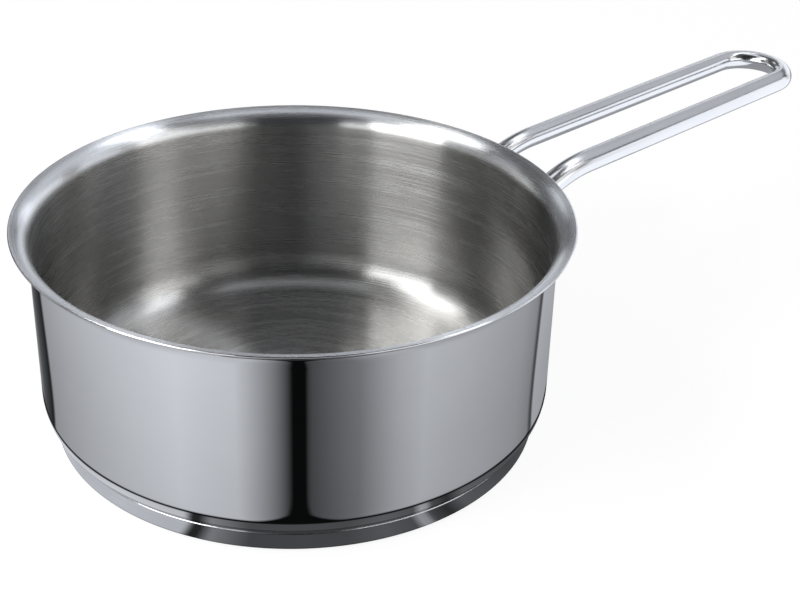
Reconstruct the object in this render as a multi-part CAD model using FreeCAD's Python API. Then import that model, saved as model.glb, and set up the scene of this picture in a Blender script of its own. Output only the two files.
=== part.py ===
import FreeCAD, Part
import math
import os

# Milk pan with a flared rim, a capsule base and a welded loop handle.
# Millimetres and degrees. The vessel's axis is Z, the resting face is z = 0 and the handle points along +X.

# Vessel
bore_radius = 80.0  # inside of the straight wall, the pan's nominal 160 mm
sheet = 0.8  # steel of the vessel
pan_height = 70.0  # resting face to the top of the rim
corner_radius = 12.5  # outside of the bend between wall and bottom
rim_overhang = 5.4  # lip edge beyond the outside of the wall
flare_radius = 5.4  # underside of the bend between wall and lip
lip_rise = 15.0  # slope of the lip

# Capsule base
cap_inset = 3.8  # side of the cap inside the outside of the wall
cap_sheet = 0.6  # steel of the cap
cap_bend_radius = 0.35  # inside of the bend round the resting face
core_thickness = 1.5  # aluminium under the flat bottom
braze_thickness = 0.2  # filler above and below the core

# Handle loop, an oval rod bent into a hairpin
rod_long = 8.1  # oval section, long way
rod_short = 7.1  # oval section, short way
rod_lean = 45.0  # long way of the section, leaning inwards at the top
rod_spacing = 27.4  # between the centrelines of the two legs
handle_reach = 163.7  # outside of the wall to the centreline at the tip
bend_reach = 38.7  # outside of the wall to the start of the bend down
handle_drop = 12.1  # top of the rim down to the centreline at the bend
grip_rise = 1.6  # slope of the grip
root_slope = 32.0  # slope of the rod where it meets the wall
bend_radius = 50.0  # centreline of the bend between grip and root
weld_leg = 2.2  # round of the weld bead between wall and rod
seam_reach = 0.1  # how near the wall an edge of the weld's seam lies

# Sizes that follow from these
outer_radius = bore_radius + sheet
bottom_z = cap_sheet + braze_thickness + core_thickness + braze_thickness
corner_centre_r = outer_radius - corner_radius
corner_centre_z = bottom_z + corner_radius
cap_radius = outer_radius - cap_inset
cap_bore = cap_radius - cap_sheet
cap_edge_radius = cap_sheet + cap_bend_radius
edge_centre_r = cap_radius - cap_edge_radius
leg_y = rod_spacing / 2

# Flare: the lip's mid line is tangent to the bend and ends in a round edge at the rim
flare_turn = math.radians(90 - lip_rise)
flare_centre_r = outer_radius + flare_radius
flare_mid_radius = flare_radius + sheet / 2
edge_round = sheet / 2
lip_end_r = outer_radius + rim_overhang - edge_round
lip_end_z = pan_height - edge_round
lip_length = (lip_end_r - flare_centre_r + flare_mid_radius * math.cos(flare_turn)) / math.sin(flare_turn)
flare_z = lip_end_z - lip_length * math.cos(flare_turn) - flare_mid_radius * math.sin(flare_turn)


def at(radius, height):
    return FreeCAD.Vector(radius, 0, height)


def polar(centre, radius, degrees):
    angle = math.radians(degrees)
    return centre + at(radius * math.cos(angle), radius * math.sin(angle))


def line(start, end):
    return Part.LineSegment(start, end).toShape()


def arc(centre, radius, start, end):
    first, last = [math.degrees(math.atan2(p.z - centre.z, p.x - centre.x)) for p in (start, end)]
    return Part.Arc(start, polar(centre, radius, (first + last) / 2), end).toShape()


def turned(edges):
    face = Part.Face(Part.Wire(edges))
    return face.revolve(FreeCAD.Vector(), FreeCAD.Vector(0, 0, 1), 360)


def on_corner(radius, offset):
    # Height of the vessel's outside corner at a radius, lowered by an offset square to its surface
    reach = radius - corner_centre_r
    return at(radius, corner_centre_z - math.sqrt((corner_radius + offset) ** 2 - reach**2))


def on_cap_edge(height):
    # Point at a height on the inside of the cap's lower edge
    inner = cap_edge_radius - cap_sheet
    return at(edge_centre_r + math.sqrt(inner**2 - (cap_edge_radius - height) ** 2), height)


def vessel():
    corner = at(corner_centre_r, corner_centre_z)
    flare = at(flare_centre_r, flare_z)
    lip_end = at(lip_end_r, lip_end_z)
    lip_angle = math.degrees(flare_turn)
    inner_corner = corner_radius - sheet
    outer_bottom = at(corner_centre_r, bottom_z)
    outer_wall_foot = at(outer_radius, corner_centre_z)
    outer_wall_top = at(outer_radius, flare_z)
    lip_under = polar(flare, flare_radius, 180 - lip_angle)
    edge_under = polar(lip_end, edge_round, -lip_angle)
    edge_top = polar(lip_end, edge_round, 180 - lip_angle)
    lip_top = polar(flare, flare_radius + sheet, 180 - lip_angle)
    inner_wall_top = at(bore_radius, flare_z)
    inner_wall_foot = at(bore_radius, corner_centre_z)
    inner_bottom = at(corner_centre_r, bottom_z + sheet)
    edges = [
        line(at(0, bottom_z), outer_bottom),
        arc(corner, corner_radius, outer_bottom, outer_wall_foot),
        line(outer_wall_foot, outer_wall_top),
        arc(flare, flare_radius, outer_wall_top, lip_under),
        line(lip_under, edge_under),
        Part.Arc(edge_under, polar(lip_end, edge_round, 90 - lip_angle), edge_top).toShape(),
        line(edge_top, lip_top),
        arc(flare, flare_radius + sheet, lip_top, inner_wall_top),
        line(inner_wall_top, inner_wall_foot),
        arc(corner, inner_corner, inner_wall_foot, inner_bottom),
        line(inner_bottom, at(0, bottom_z + sheet)),
        line(at(0, bottom_z + sheet), at(0, bottom_z)),
    ]
    return turned(edges)


def base_cap():
    corner = at(corner_centre_r, corner_centre_z)
    edge = at(edge_centre_r, cap_edge_radius)
    side_top = on_corner(cap_radius, 0)
    bore_top = on_corner(cap_bore, 0)
    edges = [
        line(at(0, 0), at(edge_centre_r, 0)),
        arc(edge, cap_edge_radius, at(edge_centre_r, 0), at(cap_radius, cap_edge_radius)),
        line(at(cap_radius, cap_edge_radius), side_top),
        arc(corner, corner_radius, side_top, bore_top),
        line(bore_top, at(cap_bore, cap_edge_radius)),
        arc(edge, cap_edge_radius - cap_sheet, at(cap_bore, cap_edge_radius), at(edge_centre_r, cap_sheet)),
        line(at(edge_centre_r, cap_sheet), at(0, cap_sheet)),
        line(at(0, cap_sheet), at(0, 0)),
    ]
    return turned(edges)


def lower_braze_layer():
    edge = at(edge_centre_r, cap_edge_radius)
    top_z = cap_sheet + braze_thickness
    foot = at(edge_centre_r, cap_sheet)
    edges = [
        line(at(0, cap_sheet), foot),
        arc(edge, cap_edge_radius - cap_sheet, foot, on_cap_edge(top_z)),
        line(on_cap_edge(top_z), at(0, top_z)),
        line(at(0, top_z), at(0, cap_sheet)),
    ]
    return turned(edges)


def core_disc():
    corner = at(corner_centre_r, corner_centre_z)
    edge = at(edge_centre_r, cap_edge_radius)
    foot_z = cap_sheet + braze_thickness
    top_z = foot_z + core_thickness
    side_foot = at(cap_bore, cap_edge_radius)
    side_top = on_corner(cap_bore, braze_thickness)
    flat_end = at(corner_centre_r, top_z)
    edges = [
        line(at(0, foot_z), on_cap_edge(foot_z)),
        arc(edge, cap_edge_radius - cap_sheet, on_cap_edge(foot_z), side_foot),
        line(side_foot, side_top),
        arc(corner, corner_radius + braze_thickness, side_top, flat_end),
        line(flat_end, at(0, top_z)),
        line(at(0, top_z), at(0, foot_z)),
    ]
    return turned(edges)


def upper_braze_layer():
    corner = at(corner_centre_r, corner_centre_z)
    foot_z = bottom_z - braze_thickness
    flat_foot = at(corner_centre_r, foot_z)
    flat_top = at(corner_centre_r, bottom_z)
    side_foot = on_corner(cap_bore, braze_thickness)
    side_top = on_corner(cap_bore, 0)
    edges = [
        line(at(0, foot_z), flat_foot),
        arc(corner, corner_radius + braze_thickness, flat_foot, side_foot),
        line(side_foot, side_top),
        arc(corner, corner_radius, side_top, flat_top),
        line(flat_top, at(0, bottom_z)),
        line(at(0, bottom_z), at(0, foot_z)),
    ]
    return turned(edges)


# Centreline of one leg: grip, bend and root lie in the plane y = leg_y
rise = math.radians(grip_rise)
slope = math.radians(root_slope)
along_grip = FreeCAD.Vector(math.cos(rise), 0, math.sin(rise))
above_grip = FreeCAD.Vector(-math.sin(rise), 0, math.cos(rise))
into_wall = FreeCAD.Vector(-math.cos(slope), 0, -math.sin(slope))
bend_start = FreeCAD.Vector(outer_radius + bend_reach, leg_y, pan_height - handle_drop)
bend_centre = bend_start - above_grip * bend_radius
bend_turn = root_slope - grip_rise
bend_end = bend_centre + FreeCAD.Vector(-math.sin(slope), 0, math.cos(slope)) * bend_radius
grip_length = (handle_reach - bend_reach) / math.cos(rise) - leg_y
wall_x = math.sqrt(outer_radius**2 - leg_y**2)
root_length = (bend_end.x - wall_x) / math.cos(slope) + rod_long
loop_centre = bend_start + along_grip * grip_length - FreeCAD.Vector(0, leg_y, 0)


def oval(centre, along, above):
    # Section of the rod, square to its centreline, on the leg at +Y
    lean = math.radians(rod_lean)
    long_way = above * math.cos(lean) + FreeCAD.Vector(0, -math.sin(lean), 0)
    short_way = along.cross(long_way)
    tip = centre + long_way * (rod_long / 2)
    flank = centre + short_way * (rod_short / 2)
    return Part.Face(Part.Wire(Part.Ellipse(tip, flank, centre).toShape()))


def root_rod():
    # Straight end of the rod, from the bend to inside the wall
    above_root = FreeCAD.Vector(-math.sin(slope), 0, math.cos(slope))
    return oval(bend_end, into_wall * -1, above_root).extrude(into_wall * root_length)


def wall_core():
    # Everything inside the outside of the vessel's wall
    return Part.makeCylinder(outer_radius, pan_height)


def mirrored(shape):
    return shape.mirror(FreeCAD.Vector(), FreeCAD.Vector(0, 1, 0))


def handle_loop():
    section = oval(bend_start, along_grip, above_grip)
    bend = section.revolve(bend_centre, FreeCAD.Vector(0, -1, 0), bend_turn)
    grip = section.extrude(along_grip * grip_length)
    tip_section = oval(bend_start + along_grip * grip_length, along_grip, above_grip)
    tip = tip_section.revolve(loop_centre, above_grip * -1, 180)
    leg = [root_rod(), bend, grip]
    loop = tip.fuse(leg + [mirrored(piece) for piece in leg])
    return loop.cut(wall_core()).removeSplitter()


def handle_weld():
    # Bead round the end of the rod at +Y, tangent to the rod and to the wall
    wall = wall_core()
    rod = root_rod()
    joined = wall.fuse(rod)
    seam = []
    for edge in joined.Edges:
        middle = edge.valueAt((edge.FirstParameter + edge.LastParameter) / 2)
        on_wall = abs(math.hypot(middle.x, middle.y) - outer_radius) < seam_reach
        if on_wall and edge.BoundBox.YMin > 0:
            seam.append(edge)
    return joined.makeFillet(weld_leg, seam).cut([wall, rod])


left_weld = handle_weld()
shapes = {
    "vessel": vessel(),
    "base_cap": base_cap(),
    "core_disc": core_disc(),
    "upper_braze_layer": upper_braze_layer(),
    "lower_braze_layer": lower_braze_layer(),
    "handle_loop": handle_loop(),
    "left_handle_weld": left_weld,
    "right_handle_weld": mirrored(left_weld),
}

os.makedirs("parts", exist_ok=True)
for node, shape in shapes.items():
    solid = shape.Solids[0]
    solid.exportStep("parts/" + node + ".step")
    print(node, len(shape.Solids), "solid", round(solid.Volume), "mm3", "valid", solid.isValid())
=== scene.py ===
import math

import bpy
from mathutils import Euler, Matrix, Vector


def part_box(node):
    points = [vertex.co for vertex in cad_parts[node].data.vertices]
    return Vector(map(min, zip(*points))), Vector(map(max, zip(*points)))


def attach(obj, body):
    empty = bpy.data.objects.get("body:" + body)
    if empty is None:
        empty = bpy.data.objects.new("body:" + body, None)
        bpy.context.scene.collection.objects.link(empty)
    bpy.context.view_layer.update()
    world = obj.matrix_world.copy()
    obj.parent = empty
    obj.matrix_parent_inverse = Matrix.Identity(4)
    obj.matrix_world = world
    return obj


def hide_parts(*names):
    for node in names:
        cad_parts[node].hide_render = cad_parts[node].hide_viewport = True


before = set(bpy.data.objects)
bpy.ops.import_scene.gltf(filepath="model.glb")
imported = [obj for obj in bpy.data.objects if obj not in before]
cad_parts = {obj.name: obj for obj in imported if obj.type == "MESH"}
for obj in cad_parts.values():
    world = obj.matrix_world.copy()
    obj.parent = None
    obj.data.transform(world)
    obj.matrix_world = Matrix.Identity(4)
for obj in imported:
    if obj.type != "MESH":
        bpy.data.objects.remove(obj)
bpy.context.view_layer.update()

mm = 0.001
mergeWithin = 0.005 * mm
vesselLow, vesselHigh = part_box("vessel")
capLow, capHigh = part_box("base_cap")
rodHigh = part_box("handle_loop")[1]
bpy.context.scene.view_settings.view_transform = "Standard"
print("frame loaded:", sorted(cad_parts))


# camera, in mm and degrees
camera = {
    "place": (-261.9, -328.5, 274.0),
    "heading": 43.035,  # from +Y towards +X
    "tilt": 29.215,  # below the horizon
    "roll": 1.742,
    "lens": 68.27,
    "sensor": 36,
    "nearest": 10,
}


def setCamera():
    data = bpy.data.cameras.new("photoCamera")
    data.lens = camera["lens"]
    data.sensor_width = camera["sensor"]
    data.clip_start = camera["nearest"] * mm
    rig = bpy.data.objects.new("photoCamera", data)
    bpy.context.scene.collection.objects.link(rig)
    turn = Euler((math.radians(90 - camera["tilt"]), 0, math.radians(-camera["heading"]))).to_matrix()
    turn = turn @ Matrix.Rotation(math.radians(camera["roll"]), 3, "Z")
    rig.rotation_euler = turn.to_euler()
    rig.location = Vector(camera["place"]) * mm
    bpy.context.scene.camera = rig


setCamera()
print("camera set")


class Wire:  # one socket, so that shader maths reads as maths
    def __init__(self, finish, socket):
        self.finish = finish
        self.socket = socket

    def maths(self, operation, first, second):
        return self.finish.node("ShaderNodeMath", {"operation": operation}, {0: first, 1: second})

    def __add__(self, other):
        return self.maths("ADD", self, other)

    def __radd__(self, other):
        return self.maths("ADD", other, self)

    def __sub__(self, other):
        return self.maths("SUBTRACT", self, other)

    def __rsub__(self, other):
        return self.maths("SUBTRACT", other, self)

    def __mul__(self, other):
        return self.maths("MULTIPLY", self, other)

    def __rmul__(self, other):
        return self.maths("MULTIPLY", other, self)

    def __truediv__(self, other):
        return self.maths("DIVIDE", self, other)

    def __rtruediv__(self, other):
        return self.maths("DIVIDE", other, self)

    def __pow__(self, other):
        return self.maths("POWER", self, other)


noiseSpan = (0.3, 0.7)  # a noise keeps mostly between these
axisGuard = 0.1 * mm  # so that nothing is divided by nought on the axis


class Finish:  # a material and the nodes that it is painted with
    def __init__(self, name):
        self.material = bpy.data.materials.new(name)
        self.material.use_nodes = True
        self.tree = self.material.node_tree
        self.tree.nodes.clear()
        self.output = self.tree.nodes.new("ShaderNodeOutputMaterial")

    def node(self, kind, settings, inputs, output=0):
        made = self.tree.nodes.new(kind)
        for key, value in settings.items():
            if key == "stops":
                ramp = made.color_ramp.elements
                while len(ramp) < len(value):
                    ramp.new(1.0)
                for stop, (place, colour) in zip(ramp, value):
                    stop.position = place
                    stop.color = (*colour, 1.0)
            else:
                setattr(made, key, value)
        for key, value in inputs.items():
            if isinstance(value, Wire):
                self.tree.links.new(value.socket, made.inputs[key])
            else:
                made.inputs[key].default_value = value
        return Wire(self, made.outputs[output])

    def place(self):
        return self.node("ShaderNodeTexCoord", {}, {}, "Object")

    def parts(self, vector):
        return [self.node("ShaderNodeSeparateXYZ", {}, {0: vector}, axis) for axis in "XYZ"]

    def noise(self, vector, scale, detail):  # scale per metre
        inputs = {"Vector": vector, "Scale": scale, "Detail": detail}
        return self.node("ShaderNodeTexNoise", {}, inputs, "Fac")

    def ringNoise(self, turns, across):  # runs long round the pan's axis and short across it
        x, y, z = self.parts(self.place())
        radius = (x * x + y * y) ** 0.5 + axisGuard
        lines = {0: x / radius * turns, 1: y / radius * turns, 2: (radius + z) * across}
        return self.noise(self.node("ShaderNodeCombineXYZ", {}, lines), 1.0, 2.0)

    def ramp(self, value, stops):
        return self.node("ShaderNodeValToRGB", {"stops": stops}, {0: value})

    def remap(self, value, low, high, toLow, toHigh):
        return self.node("ShaderNodeMapRange", {}, {0: value, 1: low, 2: high, 3: toLow, 4: toHigh})

    def tint(self, noise, colours):
        return self.ramp(noise, tuple(zip(noiseSpan, colours)))

    def spread(self, noise, levels):
        return self.remap(noise, *noiseSpan, *levels)

    def mix(self, factor, first, second, way="MIX"):
        settings = {"data_type": "RGBA", "blend_type": way}
        return self.node("ShaderNodeMix", settings, {0: factor, 6: first, 7: second}, 2)

    def bump(self, height, strength, depth):  # depth in mm
        inputs = {"Height": height, "Strength": strength, "Distance": depth * mm}
        return self.node("ShaderNodeBump", {}, inputs)

    def metal(self, colour, roughness, normal, brushing=None):
        inputs = {"Base Color": colour, "Roughness": roughness, "Metallic": 1.0, "Normal": normal}
        inputs.update(brushing or {})
        self.surface(self.node("ShaderNodeBsdfPrincipled", {}, inputs))

    def surface(self, shader):
        self.tree.links.new(shader.socket, self.output.inputs["Surface"])


# finishes: two tints and two roughnesses, noises as scale and detail, bumps as strength and depth in mm
mirrorSteel = {
    "tint": ((0.606, 0.610, 0.620), (0.634, 0.637, 0.645)),
    "roughness": (0.012, 0.03),
    "wave": (0.01, 0.2),
}
rodSteel = {
    "tint": ((0.62, 0.628, 0.645), (0.66, 0.668, 0.685)),
    "roughness": (0.15, 0.21),
    "wave": (0.02, 0.2),
}
polish = {"smudges": (38.0, 4.0), "swirls": (160.0, 2.0), "swirlShare": 0.3, "waves": (45.0, 1.0)}


def polishedFinish(name, values):
    finish = Finish(name)
    spot = finish.place()
    smudge = finish.noise(spot, *polish["smudges"])  # where it has been wiped
    swirl = finish.noise(spot, *polish["swirls"])
    worn = smudge * (1 - polish["swirlShare"]) + swirl * polish["swirlShare"]
    normal = finish.bump(finish.noise(spot, *polish["waves"]), *values["wave"])
    finish.metal(finish.tint(smudge, values["tint"]), finish.spread(worn, values["roughness"]), normal)
    return finish.material


satinSteel = {
    "tint": ((0.465, 0.462, 0.454), (0.575, 0.572, 0.562)),
    "roughness": (0.215, 0.300),
    "rimPaintedSheen": ((0.80, 0.82, 0.85), (0.90, 0.92, 0.95)),  # painted sheen: paler on the pouring rim, so that it renders brighter
    "paintedSheenFrom": (64.5, 68.5),  # mm above the table, over which the painted sheen comes in
    "streaks": (2.0, 2600.0),  # round the axis and across it: long arcs, a fraction of a mm wide
    "bands": (0.8, 300.0),
    "bandShare": 0.4,
    "scratch": (0.05, 0.03),
    "brushing": 1.0,
    "brushingTurn": 0.25,  # the gloss spreads across the brushing
}


def brushedFinish(name, values):
    finish = Finish(name)
    streak = finish.ringNoise(*values["streaks"])
    worn = streak * (1 - values["bandShare"]) + finish.ringNoise(*values["bands"]) * values["bandShare"]
    sheenFromLow, sheenFromHigh = values["paintedSheenFrom"]
    paintedSheenShare = finish.remap(finish.parts(finish.place())[2], sheenFromLow * mm, sheenFromHigh * mm, 0.0, 1.0)
    # painted sheen: the rim's colour is made paler and cooler so that the rim renders brighter
    colour = finish.mix(paintedSheenShare, finish.tint(worn, values["tint"]), finish.tint(worn, values["rimPaintedSheen"]))
    normal = finish.bump(streak, *values["scratch"])
    brushing = {"Anisotropic": values["brushing"], "Anisotropic Rotation": values["brushingTurn"]}
    finish.metal(colour, finish.spread(worn, values["roughness"]), normal, brushing)
    return finish.material


capSteel = {
    "tint": ((0.52, 0.525, 0.54), (0.58, 0.585, 0.60)),
    "roughness": (0.06, 0.14),
    "smudges": (60.0, 3.0),
    "rings": (0.6, 1500.0),
    "ringShare": 0.4,
    "ringRoughness": 0.3,
    "ringCut": (0.3, 0.08),
    "ringsTo": (0.1, 1.2),  # mm above the table, over which the rings end
}


def turnedFinish(name, values):  # rings from the lathe under the base, polish on its side
    finish = Finish(name)
    spot = finish.place()
    ringLow, ringHigh = values["ringsTo"]
    under = finish.remap(finish.parts(spot)[2], ringLow * mm, ringHigh * mm, 1.0, 0.0)
    ring = finish.ringNoise(*values["rings"])
    smudge = finish.noise(spot, *values["smudges"])
    worn = smudge * (1 - values["ringShare"]) + ring * values["ringShare"]
    roughness = finish.spread(smudge, values["roughness"]) + under * ring * values["ringRoughness"]
    finish.metal(finish.tint(worn, values["tint"]), roughness, finish.bump(ring * under, *values["ringCut"]))
    return finish.material


beadSteel = {
    "tint": ((0.46, 0.445, 0.43), (0.60, 0.59, 0.58)),
    "roughness": (0.22, 0.38),
    "grain": (700.0, 3.0),
}
discAluminium = {
    "tint": ((0.72, 0.73, 0.74), (0.80, 0.81, 0.82)),
    "roughness": (0.35, 0.5),
    "grain": (900.0, 3.0),
}
brazeFiller = {
    "tint": ((0.52, 0.52, 0.50), (0.64, 0.64, 0.62)),
    "roughness": (0.45, 0.65),
    "grain": (1400.0, 3.0),
}
dullMetal = {"patches": (90.0, 4.0), "grainShare": 0.5, "pits": (0.3, 0.1)}


def dullFinish(name, values):
    finish = Finish(name)
    spot = finish.place()
    patch = finish.noise(spot, *dullMetal["patches"])
    grain = finish.noise(spot, *values["grain"])
    worn = patch * (1 - dullMetal["grainShare"]) + grain * dullMetal["grainShare"]
    normal = finish.bump(grain, *dullMetal["pits"])
    finish.metal(finish.tint(worn, values["tint"]), finish.spread(patch, values["roughness"]), normal)
    return finish.material


outsideFinish = polishedFinish("mirrorSteel", mirrorSteel)
insideFinish = brushedFinish("satinSteel", satinSteel)
rodFinish = polishedFinish("rodSteel", rodSteel)
capFinish = turnedFinish("capSteel", capSteel)
beadFinish = dullFinish("beadSteel", beadSteel)
discFinish = dullFinish("discAluminium", discAluminium)
fillerFinish = dullFinish("brazeFiller", brazeFiller)
print("finishes mixed")


def clearSelection():
    bpy.ops.object.select_all(action="DESELECT")


def beginSection(name, height):  # one vertex on the axis, from which a section is drawn in the XZ plane
    clearSelection()
    bpy.ops.mesh.primitive_plane_add(size=mm)
    piece = bpy.context.object
    piece.name = piece.data.name = name
    bpy.ops.object.mode_set(mode="EDIT")
    bpy.ops.mesh.select_all(action="SELECT")
    bpy.ops.mesh.merge(type="CENTER")
    bpy.ops.transform.translate(value=(0, 0, height))
    return piece


def runBy(outward, upward):
    bpy.ops.mesh.extrude_vertices_move(TRANSFORM_OT_translate={"value": (outward, 0, upward)})


def heldRun(outward, upward, hold):  # a straight run with a close row beside each end
    whole = math.hypot(outward, upward)
    for length in (hold, whole - 2 * hold, hold):
        runBy(outward / whole * length, upward / whole * length)


def turnAbout(radius, height, degrees, steps):  # clockwise, with the axis at the left
    bpy.ops.mesh.spin(steps=steps, angle=math.radians(-degrees), center=(radius, 0, height), axis=(0, 1, 0))


def closeSeams():
    bpy.ops.mesh.select_all(action="SELECT")
    bpy.ops.mesh.remove_doubles(threshold=mergeWithin)
    bpy.ops.mesh.normals_make_consistent(inside=False)
    bpy.ops.object.mode_set(mode="OBJECT")


def lathe(steps):
    bpy.ops.mesh.select_all(action="SELECT")
    bpy.ops.mesh.spin(steps=steps, angle=2 * math.pi, center=(0, 0, 0), axis=(0, 0, 1))
    closeSeams()
    bpy.ops.object.shade_smooth()


def keep(piece, node):
    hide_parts(node)
    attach(piece, "root")


# vessel, in mm and degrees
vessel = {
    "sheet": 0.8,
    "corner": 12.5,  # outside radius between floor and wall
    "flare": 5.4,  # outside radius under the rim
    "lipRise": 15.0,
    "overhang": 5.4,  # of the rim beyond the wall
    "hold": 0.4,  # close rows beside each bend
    "sides": 256,
    "cornerSteps": 20,
    "underRimSteps": 14,
    "edgeSteps": 10,
    "rimSteps": 16,
}


def makeVessel():
    sheet, corner, flare, hold = (vessel[key] * mm for key in ("sheet", "corner", "flare", "hold"))
    rise = math.radians(vessel["lipRise"])
    rimRadius = max(vesselHigh.y, -vesselLow.x)
    outer = rimRadius - vessel["overhang"] * mm
    floorZ = vesselLow.z
    lipR, lipZ = rimRadius - sheet / 2, vesselHigh.z - sheet / 2  # middle of the rounded edge
    cornerR, cornerZ = outer - corner, floorZ + corner
    flareR = outer + flare
    middle = flare + sheet / 2
    lip = (lipR - flareR + middle * math.sin(rise)) / math.cos(rise)
    flareZ = lipZ - lip * math.sin(rise) - middle * math.cos(rise)
    lipOut, lipUp = lip * math.cos(rise), lip * math.sin(rise)

    piece = beginSection("vessel", floorZ)
    runBy(cornerR - hold, 0)
    runBy(hold, 0)
    turnAbout(cornerR, cornerZ, -90, vessel["cornerSteps"])  # outside corner
    heldRun(0, flareZ - cornerZ, hold)
    turnAbout(flareR, flareZ, 90 - vessel["lipRise"], vessel["underRimSteps"])
    heldRun(lipOut, lipUp, hold)
    turnAbout(lipR, lipZ, -180, vessel["edgeSteps"])  # rounded edge
    heldRun(-lipOut, -lipUp, hold)
    turnAbout(flareR, flareZ, vessel["lipRise"] - 90, vessel["rimSteps"])  # pouring rim
    heldRun(0, cornerZ - flareZ, hold)
    turnAbout(cornerR, cornerZ, 90, vessel["cornerSteps"])  # inside corner
    runBy(-hold, 0)
    runBy((hold - cornerR) / 2, 0)
    runBy((hold - cornerR) / 2, 0)
    lathe(vessel["sides"])

    piece.data.materials.append(outsideFinish)
    piece.data.materials.append(insideFinish)
    for face in piece.data.polygons:  # satin where a face looks up or inwards
        outward = (face.normal.x * face.center.x + face.normal.y * face.center.y) / face.center.xy.length
        face.material_index = 1 if face.normal.z > outward else 0
    keep(piece, "vessel")


makeVessel()
print("vessel turned")


# base cap, in mm
baseCap = {
    "sheet": 0.6,
    "edge": 0.95,  # radius of the edge that it stands on
    "topEdge": 0.2,
    "seam": 0.12,  # left open under the vessel
    "tuck": 0.15,  # how far the top falls inwards
    "hold": 0.3,
    "sides": 256,
    "edgeSteps": 10,
    "topEdgeSteps": 6,
}


def makeBaseCap():
    sheet, edge, topEdge, seam, tuck, hold = (
        baseCap[key] * mm for key in ("sheet", "edge", "topEdge", "seam", "tuck", "hold"))
    capRadius = max(capHigh.y, -capLow.x)
    topZ = capHigh.z - seam
    piece = beginSection("baseCap", capLow.z)
    runBy((capRadius - edge - hold) / 2, 0)
    runBy((capRadius - edge - hold) / 2, 0)
    runBy(hold, 0)
    turnAbout(capRadius - edge, capLow.z + edge, -90, baseCap["edgeSteps"])
    heldRun(0, topZ - topEdge - capLow.z - edge, hold)
    turnAbout(capRadius - topEdge, topZ - topEdge, -90, baseCap["topEdgeSteps"])
    runBy(topEdge - sheet, -tuck)
    runBy(0, sheet + tuck - topZ)
    runBy(sheet - capRadius, 0)
    lathe(baseCap["sides"])
    piece.data.materials.append(capFinish)
    keep(piece, "base_cap")


makeBaseCap()
print("base cap turned")


# handle, in mm and degrees
handle = {
    "rodLong": 8.1,
    "rodShort": 7.1,
    "lean": 45.0,  # the long way leans inwards at the top
    "spacing": 27.4,  # between the two rods
    "bendPlace": (119.5, 57.9),  # where the straight grip begins
    "gripRise": 1.6,
    "rootSlope": 32.0,
    "bendRadius": 50.0,
    "sink": 0.35,  # rod end below the wall's surface
    "spare": 2.0,  # run on past the wall before it is cut
    "hold": 0.5,
    "sides": 64,
    "loopSteps": 28,
    "bendSteps": 16,
    "sharpFrom": 50,
}


def rodLines():
    rise, slope = math.radians(handle["gripRise"]), math.radians(handle["rootSlope"])
    along = Vector((math.cos(rise), 0, math.sin(rise)))
    above = Vector((-math.sin(rise), 0, math.cos(rise)))
    half = handle["spacing"] / 2 * mm
    start = Vector((handle["bendPlace"][0] * mm, half, handle["bendPlace"][1] * mm))
    bendCentre = start - above * handle["bendRadius"] * mm
    root = Vector((-math.cos(slope), 0, -math.sin(slope)))
    bendEnd = bendCentre + Vector((-math.sin(slope), 0, math.cos(slope))) * handle["bendRadius"] * mm
    return along, above, half, start, bendCentre, root, bendEnd


def rodSection(up, side):  # long and short ways of the oval, half lengths
    lean = math.radians(handle["lean"])
    longWay = up * math.cos(lean) + side * math.sin(lean)
    shortWay = side * math.cos(lean) - up * math.sin(lean)
    return longWay * handle["rodLong"] / 2 * mm, shortWay * handle["rodShort"] / 2 * mm


def drawRod(way, lengths):
    for length in lengths:
        bpy.ops.mesh.extrude_region_move(TRANSFORM_OT_translate={"value": way * length})


def makeHandle():
    along, above, half, start, bendCentre, root, bendEnd = rodLines()
    hold = handle["hold"] * mm
    wall = vesselHigh.y - vessel["overhang"] * mm
    lean = math.radians(handle["lean"])
    outward = math.hypot(handle["rodLong"] * math.sin(lean), handle["rodShort"] * math.cos(lean)) / 2 * mm
    grip = (rodHigh.x - outward - start.x) / along.x - half
    loopCentre = Vector((start.x, 0, start.z)) + along * grip
    longWay, shortWay = rodSection(above, -along)

    clearSelection()
    bpy.ops.mesh.primitive_circle_add(vertices=handle["sides"], radius=1)
    piece = bpy.context.object
    piece.name = piece.data.name = "handleLoop"
    tip = loopCentre + along * half
    piece.matrix_world = Matrix((
        (longWay.x, shortWay.x, 0, tip.x),
        (longWay.y, shortWay.y, 1, tip.y),
        (longWay.z, shortWay.z, 0, tip.z),
        (0, 0, 0, 1),
    ))
    bpy.ops.object.transform_apply(location=True, rotation=True, scale=True)
    bpy.ops.object.mode_set(mode="EDIT")
    bpy.ops.mesh.select_all(action="SELECT")
    bpy.ops.mesh.spin(steps=handle["loopSteps"], angle=math.radians(-90), center=loopCentre, axis=above)
    straight = (grip - 2 * hold) / 2
    drawRod(-along, (hold, straight, straight, hold))
    turn = math.radians(handle["rootSlope"] - handle["gripRise"])
    bpy.ops.mesh.spin(steps=handle["bendSteps"], angle=turn, center=bendCentre, axis=(0, 1, 0))
    drawRod(root, (hold, (bendEnd.x - wall) / -root.x + handle["spare"] * mm))
    facing = Vector((math.sqrt(wall * wall - half * half), half, 0)).normalized()
    cut = facing * (wall - handle["sink"] * mm)
    bpy.ops.mesh.select_all(action="SELECT")
    bpy.ops.mesh.bisect(plane_co=cut, plane_no=facing, clear_inner=True, use_fill=True)
    bpy.ops.object.mode_set(mode="OBJECT")
    mirror = piece.modifiers.new("otherRod", "MIRROR")
    mirror.use_axis = (False, True, False)
    mirror.merge_threshold = mergeWithin
    bpy.ops.object.modifier_apply(modifier=mirror.name)
    bpy.ops.object.mode_set(mode="EDIT")
    closeSeams()
    bpy.ops.object.shade_smooth_by_angle(angle=math.radians(handle["sharpFrom"]))
    piece.data.materials.append(rodFinish)
    keep(piece, "handle_loop")


makeHandle()
print("handle bent")


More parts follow.
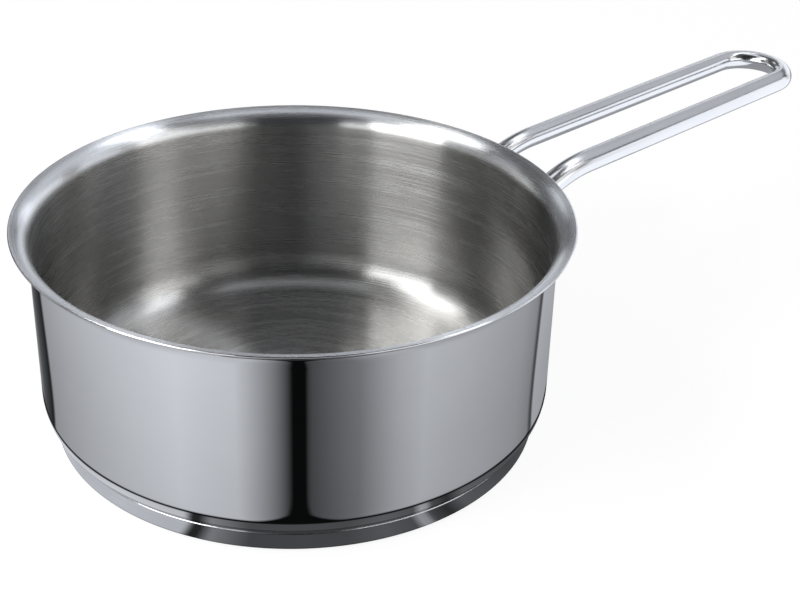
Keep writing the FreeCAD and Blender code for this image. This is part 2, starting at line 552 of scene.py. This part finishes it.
# pieces that keep their CAD shapes
keptSolids = {
    "core_disc": discFinish,
    "upper_braze_layer": fillerFinish,
    "lower_braze_layer": fillerFinish,
    "left_handle_weld": beadFinish,
    "right_handle_weld": beadFinish,
}
for node, material in keptSolids.items():
    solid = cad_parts[node]
    solid.data.materials.clear()
    solid.data.materials.append(material)
print("core, filler and welds finished")


# studio, in metres and degrees round from the camera's side, to the right
studio = {
    "floor": 12.0,
    "backdrop": (4.0, 1.0),  # radius and height
    "backdropSink": 0.01,
    "sides": 96,
    "layers": {"floor": -0.3, "mat": -0.2, "card": -0.1},  # mm
    "paint": (0.22, 0.22, 0.22, 1),
    "whiteness": 0.87,  # what the ground shows by itself, and the lamps add the rest
    "tint": (0.965, 0.99, 1.045, 1),
    "world": 0.1,
    "tableCards": (  # left, right, near and far in the pan's own X and Y, strength
        ("whiteTable", 0.16, 2.60, -2.60, -0.02, 1.4),
        ("greyTable", 0.05, 2.60, -0.012, 2.60, 0.42),
    ),
    "screens": (  # turn, rise, distance, width, height, strength
        ("cameraFlag", -1, 38, 1.3, 1.0, 1.9, 0.03),
        ("leftBackFlag", -150, 12, 2.2, 1.9, 0.9, 0.12),
        ("rightBackCard", 140, 11, 2.2, 1.4, 0.85, 1.3),
        ("backScreen", 168, 8, 2.6, 1.4, 0.75, 0.95),
        ("handleCard", 132, 46, 1.2, 1.4, 0.75, 0.61),
        ("leftRimCard", 162, 27, 2.0, 0.5, 0.5, 1.2),
        ("rightRimCard", -164, 29, 2.0, 0.5, 0.35, 1.0),
        ("topCard", 180, 80, 1.3, 0.7, 0.4, 1.25),
        ("glintCard", 128, 59, 1.1, 0.75, 0.18, 2.5),
        ("leftSideCard", -113, 28, 1.6, 0.5, 0.4, 0.6),
        ("rightSideCard", 98, 12, 1.6, 0.7, 0.65, 1.4),
    ),
    "softboxes": (  # the same
        ("leftLowBox", -54, 14, 1.5, 0.9, 0.6, 5.8),
        ("leftInnerBox", -29, 14, 1.5, 0.4, 0.6, 1.6),
        ("leftMidBox", -56, 34, 1.5, 0.8, 0.4, 4.4),
        ("leftHighBox", -92, 52, 1.5, 0.8, 0.45, 4.2),
        ("leftBackBox", -125, 58, 1.4, 0.6, 0.35, 1.2),
        ("rightLowBox", 50, 14, 1.5, 1.4, 0.6, 1.5),
        ("rightMidBox", 70, 34, 1.5, 0.8, 0.4, 1.0),
        ("rightHighBox", 100, 50, 1.5, 0.7, 0.4, 4.8),
    ),
}
towardsCamera = math.degrees(math.atan2(camera["place"][1], camera["place"][0]))


def around(turn, rise, distance):
    angle, lift = math.radians(towardsCamera + turn), math.radians(rise)
    level = math.cos(lift)
    return Vector((math.cos(angle) * level, math.sin(angle) * level, math.sin(lift))) * distance


def onlyInReflections(piece):
    for way in ("visible_camera", "visible_diffuse", "visible_shadow", "visible_transmission"):
        setattr(piece, way, False)


def glow(name, strength):
    finish = Finish(name)
    light = {"Color": studio["tint"], "Strength": strength}
    finish.surface(finish.node("ShaderNodeEmission", {}, light))
    return finish.material


def whiteGround():  # white to the eye and in reflections, and it still takes the pan's shadow
    finish = Finish("whiteGround")
    seen = finish.node("ShaderNodeLightPath", {}, {}, "Is Camera Ray")
    seen = seen + finish.node("ShaderNodeLightPath", {}, {}, "Is Glossy Ray")
    seen = seen + finish.node("ShaderNodeLightPath", {}, {}, "Is Transmission Ray")
    paint = finish.node("ShaderNodeBsdfDiffuse", {}, {"Color": studio["paint"]})
    light = finish.node("ShaderNodeEmission", {}, {"Strength": studio["whiteness"]})
    both = finish.node("ShaderNodeAddShader", {}, {0: paint, 1: light})
    finish.surface(finish.node("ShaderNodeMixShader", {}, {0: seen, 1: paint, 2: both}))
    return finish.material


def setGround():
    ground = whiteGround()
    clearSelection()
    level = studio["layers"]["floor"] * mm
    bpy.ops.mesh.primitive_plane_add(size=studio["floor"], location=(0, 0, level))
    floor = bpy.context.object
    floor.name = "floor"
    floor.data.materials.append(ground)
    clearSelection()
    radius, height = studio["backdrop"]
    middle = (0, 0, height / 2 - studio["backdropSink"])
    bpy.ops.mesh.primitive_cylinder_add(
        vertices=studio["sides"], radius=radius, depth=height, end_fill_type="NOTHING", location=middle)
    backdrop = bpy.context.object
    backdrop.name = "backdrop"
    backdrop.data.materials.append(ground)


# table mat: two soft grey panels that the polished wall mirrors, and what lies close to the base
tableMat = {
    "size": 3.0,
    "strength": 1.6,
    "dark": (0.003, 0.003, 0.003, 1),
    "mirrored": (2.2376, 100),  # how degrees on the mat spread on the wall, by mm from the axis
    "panels": (  # degrees round the wall, brightness
        (-90, 0.40), (-80, 0.12), (-70.5, 0.02), (-68.8, 0.46), (-48, 0.72), (-24, 1.0), (-12, 0.86),
        (-4, 0.26), (-0.9, 0.004), (1.5, 0.004), (2.4, 0.09), (12, 0.26), (20, 0.58), (26, 0.73),
        (56, 0.48), (63.5, 0.36), (65.2, 0.10), (66.2, 0.10), (67.5, 0.60), (90, 0.40)),
    "panelFade": (90, 175, 0.82),  # mm from the axis, and the share at the nearer
    "gapMiddle": 0.3,
    "topCorner": (7.0, 6.0, 180, 8),  # degrees and mm where it begins to round, and how far it goes
    "bottomCorner": (11.0, 9.8, 112, 24),
    "cornerSoft": (0.94, 1.05),
    "closeUp": (  # degrees round the table
        (-60, 0.74), (-45, 0.84), (-27, 0.76), (-25, 0.03), (-23, 0.03), (-20, 0.32), (-11, 0.10),
        (11, 0.10), (20, 0.16), (27.5, 0.12), (29.5, 0.48), (31, 0.42), (32.5, 0.10), (37, 0.04),
        (42, 0.16), (60, 0.10)),
    "closeUpTo": (86.0, 86.6),  # mm from the axis
    "edgeTo": (77.3, 77.5, 0.35),  # where the base's own shadow ends, and what it leaves
    "darkRing": (86.5, 1.3, 2.0),  # middle, half width in front and at the sides
    "ringSides": (40, 60),
    "ringSoft": (0.7, 1.2, 0.12),
    "far": ((-180, 0.25), (-165, 0.08), (-80, 0.08), (-40, 0.7), (90, 0.9), (165, 0.6)),
    "farFrom": (200, 210),
}


def matFinish():
    finish = Finish("tableMat")
    x, y = finish.parts(finish.place())[:2]
    radius = (x * x + y * y) ** 0.5 / mm
    turn = finish.node("ShaderNodeMath", {"operation": "ARCTAN2"}, {0: y, 1: x}) * math.degrees(1)
    spreadBy, spreadFrom = tableMat["mirrored"]
    wallTurn = turn * radius / (radius * spreadBy - spreadFrom)  # where on the wall this spot is mirrored
    strength, dark = tableMat["strength"], tableMat["dark"]

    def size(value):
        return finish.node("ShaderNodeMath", {"operation": "ABSOLUTE"}, {0: value})

    def beyond(value, limit, scale):
        return finish.node("ShaderNodeMath", {"operation": "MAXIMUM"}, {0: (value - limit) / scale, 1: 0.0})

    def gradient(value, stops, reach):
        stops = [((place + reach) / (2 * reach), (level / strength,) * 3) for place, level in stops]
        return finish.ramp((value + reach) / (2 * reach), stops)

    def inCorner(values, side):  # 1 inside the panel's rounded corner, 0 outside
        turnFrom, turnReach, radiusFrom, radiusReach = values
        across = beyond(0 - size(wallTurn - tableMat["gapMiddle"]), -turnFrom, turnReach)
        along = beyond(radius * side, radiusFrom * side, radiusReach)
        return finish.remap((across * across + along * along) ** 0.5, *tableMat["cornerSoft"], 1.0, 0.0)

    panels = inCorner(tableMat["topCorner"], 1) * inCorner(tableMat["bottomCorner"], -1)
    panels = panels * finish.remap(radius, *tableMat["panelFade"], 1.0)
    panels = finish.mix(panels, dark, gradient(wallTurn, tableMat["panels"], 90))
    ringAt, ringFront, ringSide = tableMat["darkRing"]
    ringWide = finish.remap(size(turn), *tableMat["ringSides"], ringFront, ringSide)
    ring = finish.remap(size(radius - ringAt) / ringWide, *tableMat["ringSoft"], 1.0)
    outside = finish.remap(radius, *tableMat["closeUpTo"], 0.0, 1.0)
    table = finish.mix(outside, gradient(turn, tableMat["closeUp"], 90), panels)
    table = finish.mix(ring, dark, table)
    table = finish.mix(finish.remap(radius, *tableMat["edgeTo"], 1.0), dark, table)
    far = finish.remap(radius, *tableMat["farFrom"], 0.0, 1.0)
    table = finish.mix(far, table, gradient(turn, tableMat["far"], 180))
    table = finish.mix(1.0, table, studio["tint"], "MULTIPLY")
    finish.surface(finish.node("ShaderNodeEmission", {}, {"Color": table, "Strength": strength}))
    return finish.material


def layMat():
    clearSelection()
    level = studio["layers"]["mat"] * mm
    bpy.ops.mesh.primitive_circle_add(
        vertices=studio["sides"], radius=tableMat["size"] / 2, fill_type="NGON", location=(0, 0, level))
    mat = bpy.context.object
    mat.name = "tableMat"
    mat.rotation_euler = (0, 0, math.radians(towardsCamera))
    mat.data.materials.append(matFinish())
    onlyInReflections(mat)


def addCard(name, place, width, height, strength):
    clearSelection()
    bpy.ops.mesh.primitive_plane_add(size=1, location=place)
    card = bpy.context.object
    card.name = name
    card.scale = (width, height, 1)
    card.data.materials.append(glow(name, strength))
    onlyInReflections(card)
    return card


def tableCard(name, left, right, near, far, strength):  # flat beside the pan
    place = ((left + right) / 2, (near + far) / 2, studio["layers"]["card"] * mm)
    addCard(name, place, right - left, far - near, strength)


def facePan(piece):
    piece.rotation_euler = piece.location.to_track_quat("Z", "Y").to_euler()


def screen(name, turn, rise, distance, width, height, strength):  # an upright card
    facePan(addCard(name, around(turn, rise, distance), width, height, strength))


def softbox(name, turn, rise, distance, width, height, strength):
    lamp = bpy.data.lights.new(name, "AREA")
    lamp.shape = "RECTANGLE"
    lamp.size, lamp.size_y = width, height
    lamp.energy = strength * math.pi * width * height
    rig = bpy.data.objects.new(name, lamp)
    bpy.context.scene.collection.objects.link(rig)
    rig.location = around(turn, rise, distance)
    facePan(rig)


def setWorld():
    world = bpy.data.worlds.new("studioWorld")
    bpy.context.scene.world = world
    world.use_nodes = True
    sky = world.node_tree.nodes["Background"].inputs
    sky["Color"].default_value = (1, 1, 1, 1)
    sky["Strength"].default_value = studio["world"]


setGround()
layMat()
for row in studio["tableCards"]:
    tableCard(*row)
for row in studio["screens"]:
    screen(*row)
for row in studio["softboxes"]:
    softbox(*row)
setWorld()
print("studio set")
